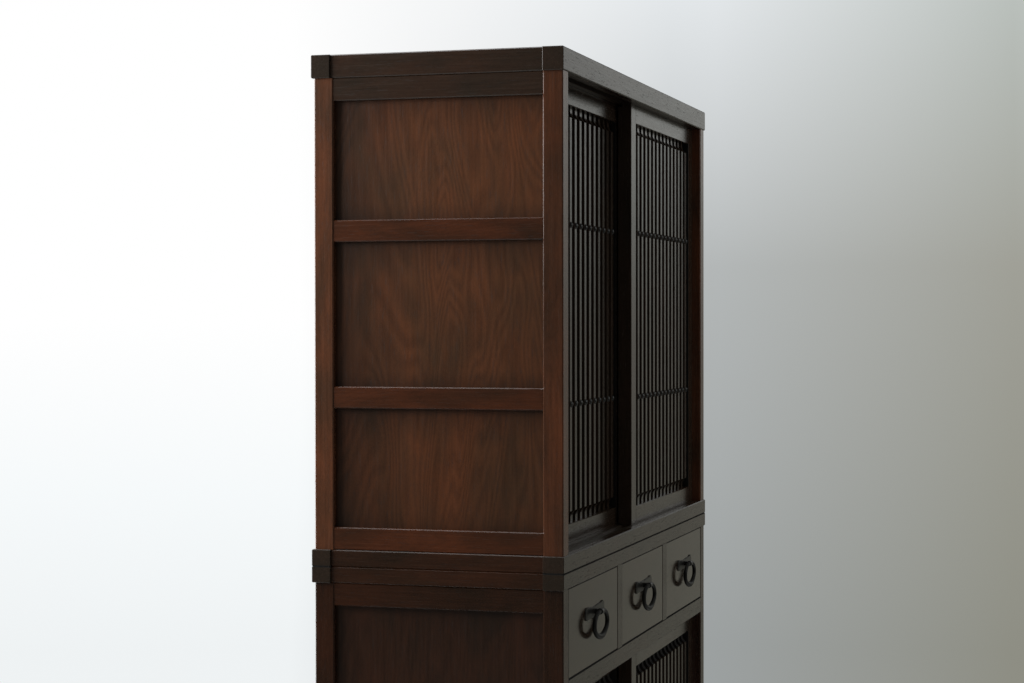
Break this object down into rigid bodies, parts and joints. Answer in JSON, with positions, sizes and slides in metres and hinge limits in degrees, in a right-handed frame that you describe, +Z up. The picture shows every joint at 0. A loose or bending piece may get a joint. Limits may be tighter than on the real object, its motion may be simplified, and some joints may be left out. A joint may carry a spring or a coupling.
{
  "type": "kitchen cabinet",
  "caption": "Two-piece stacking wooden kitchen cabinet with sliding lattice doors above and below a row of drawers with iron bail pulls.",
  "frame": {"origin": "on the floor under the middle of the bounding box, pulls included", "axes": "+X to the right along the front, +Y to the back, +Z up"},
  "size_m": [1.152, 0.4488, 1.757],
  "materials": {
    "frame_wood": "satin dark reddish-brown lacquered hardwood",
    "panel_wood": "satin dark stained boards with broad grain",
    "inner_wood": "dull unfinished softwood",
    "iron": "blackened forged iron"
  },
  "bodies": {
    "cabinet": {"deck_bearers": "inner_wood", "drawer_deck": "inner_wood", "drawer_dividers": "frame_wood", "drawer_guides": "inner_wood", "drawer_rail": "frame_wood", "lower_back_panels": "panel_wood", "lower_back_rails": "frame_wood", "lower_base_rim": "frame_wood", "lower_floor_board": "inner_wood", "lower_head_track": "frame_wood", "lower_jambs": "frame_wood", "lower_posts": "frame_wood", "lower_shelf": "inner_wood", "lower_shelf_bearers": "inner_wood", "lower_side_panels": "panel_wood", "lower_side_rails": "frame_wood", "lower_sill_track": "frame_wood", "lower_top_board": "panel_wood", "lower_top_rim": "frame_wood", "upper_back_panels": "panel_wood", "upper_back_rails": "frame_wood", "upper_base_rim": "frame_wood", "upper_floor_board": "inner_wood", "upper_head_track": "frame_wood", "upper_jambs": "frame_wood", "upper_posts": "frame_wood", "upper_shelf_bearers": "inner_wood", "upper_shelves": "inner_wood", "upper_side_panels": "panel_wood", "upper_side_rails": "frame_wood", "upper_sill_track": "frame_wood", "upper_top_board": "panel_wood", "upper_top_rim": "frame_wood"},
    "upper_left_door": {"upper_left_door_frame": "frame_wood", "upper_left_door_lattice": "frame_wood", "upper_left_door_panel": "panel_wood"},
    "upper_right_door": {"upper_right_door_frame": "frame_wood", "upper_right_door_lattice": "frame_wood", "upper_right_door_panel": "panel_wood"},
    "lower_left_door": {"lower_left_door_frame": "frame_wood", "lower_left_door_lattice": "frame_wood", "lower_left_door_panel": "panel_wood"},
    "lower_right_door": {"lower_right_door_frame": "frame_wood", "lower_right_door_lattice": "frame_wood", "lower_right_door_panel": "panel_wood"},
    "left_drawer": {"left_drawer_bottom": "inner_wood", "left_drawer_box": "inner_wood", "left_drawer_front": "frame_wood", "left_pull_plate": "iron"},
    "left_bail": {"left_pull_bail": "iron"},
    "middle_drawer": {"middle_drawer_bottom": "inner_wood", "middle_drawer_box": "inner_wood", "middle_drawer_front": "frame_wood", "middle_pull_plate": "iron"},
    "middle_bail": {"middle_pull_bail": "iron"},
    "right_drawer": {"right_drawer_bottom": "inner_wood", "right_drawer_box": "inner_wood", "right_drawer_front": "frame_wood", "right_pull_plate": "iron"},
    "right_bail": {"right_pull_bail": "iron"}
  },
  "joints": [
    {"name": "upper_left_door_slide", "type": "slide", "parent": "cabinet", "child": "upper_left_door", "axis": [1, 0, 0], "range_m": [0, 0.519]},
    {"name": "upper_right_door_slide", "type": "slide", "parent": "cabinet", "child": "upper_right_door", "axis": [1, 0, 0], "range_m": [-0.519, 0]},
    {"name": "lower_left_door_slide", "type": "slide", "parent": "cabinet", "child": "lower_left_door", "axis": [1, 0, 0], "range_m": [0, 0.519]},
    {"name": "lower_right_door_slide", "type": "slide", "parent": "cabinet", "child": "lower_right_door", "axis": [1, 0, 0], "range_m": [-0.519, 0]},
    {"name": "left_drawer_slide", "type": "slide", "parent": "cabinet", "child": "left_drawer", "axis": [0, -1, 0], "range_m": [0, 0.3]},
    {"name": "left_bail_hinge", "type": "hinge", "parent": "left_drawer", "child": "left_bail", "pos_m": [-0.37, -0.2192, 0.824], "axis": [-1, 0, 0], "range_deg": [-8, 165]},
    {"name": "middle_drawer_slide", "type": "slide", "parent": "cabinet", "child": "middle_drawer", "axis": [0, -1, 0], "range_m": [0, 0.3]},
    {"name": "middle_bail_hinge", "type": "hinge", "parent": "middle_drawer", "child": "middle_bail", "pos_m": [0, -0.2192, 0.824], "axis": [-1, 0, 0], "range_deg": [-8, 165]},
    {"name": "right_drawer_slide", "type": "slide", "parent": "cabinet", "child": "right_drawer", "axis": [0, -1, 0], "range_m": [0, 0.3]},
    {"name": "right_bail_hinge", "type": "hinge", "parent": "right_drawer", "child": "right_bail", "pos_m": [0.37, -0.2192, 0.824], "axis": [-1, 0, 0], "range_deg": [-8, 165]}
  ]
}
